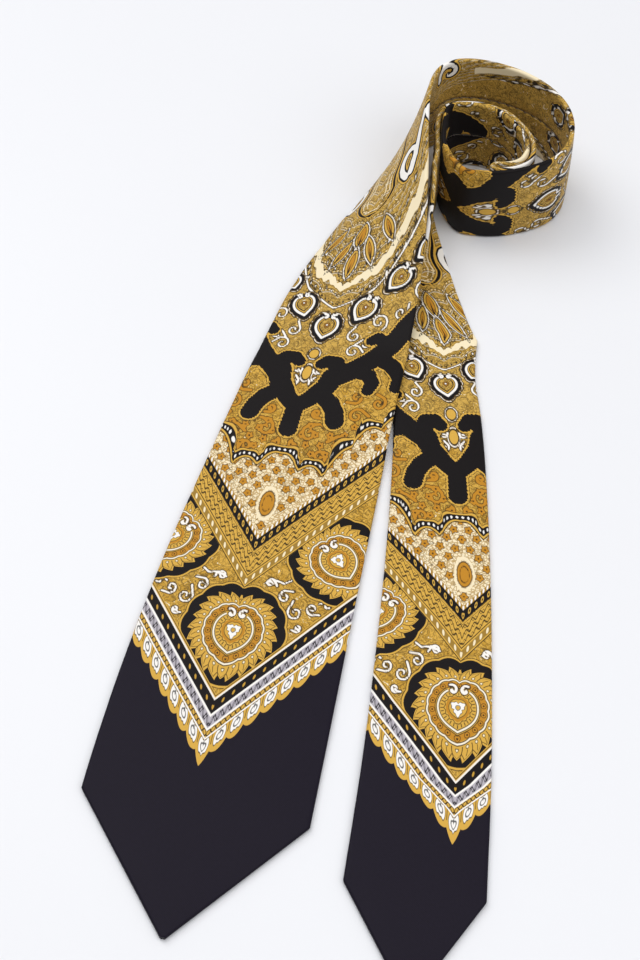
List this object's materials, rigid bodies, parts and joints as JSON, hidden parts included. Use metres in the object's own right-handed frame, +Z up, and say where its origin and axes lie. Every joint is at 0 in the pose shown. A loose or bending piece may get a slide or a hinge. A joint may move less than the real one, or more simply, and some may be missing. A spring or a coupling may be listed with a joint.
{
  "type": "necktie",
  "caption": "Printed silk necktie lying flat with blade and tail face up and the neck rolled on its edge; both ends lift.",
  "frame": {"origin": "on the flat back of the blade, between its point and the roll, where the tie rests", "axes": "+Y from the two points towards the roll, +Z up from the surface the tie lies on, +X to the right seen from the points"},
  "size_m": [0.2246, 0.4711, 0.0524],
  "materials": {
    "printed_silk": "fine silk twill printed in gold, amber, cream and black, soft sheen",
    "interlining": "brushed wool-blend padding cloth",
    "tipping": "plain black satin lining",
    "thread": "dark sewing thread",
    "label": "blank woven satin label",
    "care_label": "blank white satin tape"
  },
  "bodies": {
    "roll": {"blade_silk": "printed_silk", "blade_interlining": "interlining", "blade_slip_stitch": "thread", "blade_neck_seam": "thread", "neck_silk": "printed_silk", "tail_neck_seam": "thread", "tail_silk": "printed_silk", "tail_interlining": "interlining", "tail_slip_stitch": "thread"},
    "blade_end": {"blade_end_silk": "printed_silk", "blade_end_interlining": "interlining", "blade_tipping": "tipping", "blade_bar_tack": "thread", "blade_end_slip_stitch": "thread", "keeper_loop": "printed_silk", "keeper_stitches": "thread", "maker_label": "label", "care_label": "care_label", "label_stitches": "thread"},
    "tail_end": {"tail_end_silk": "printed_silk", "tail_end_interlining": "interlining", "tail_tipping": "tipping", "tail_bar_tack": "thread", "tail_end_slip_stitch": "thread"}
  },
  "joints": [
    {"name": "blade_lift", "type": "hinge", "parent": "roll", "child": "blade_end", "pos_m": [0.0265, -0.016, 0.0024], "axis": [-0.9823, 0.1871, 0], "range_deg": [0, 75]},
    {"name": "tail_lift", "type": "hinge", "parent": "roll", "child": "tail_end", "pos_m": [0.0295, -0.05, 0.0024], "axis": [-0.995, 0.0995, 0], "range_deg": [0, 75]}
  ]
}
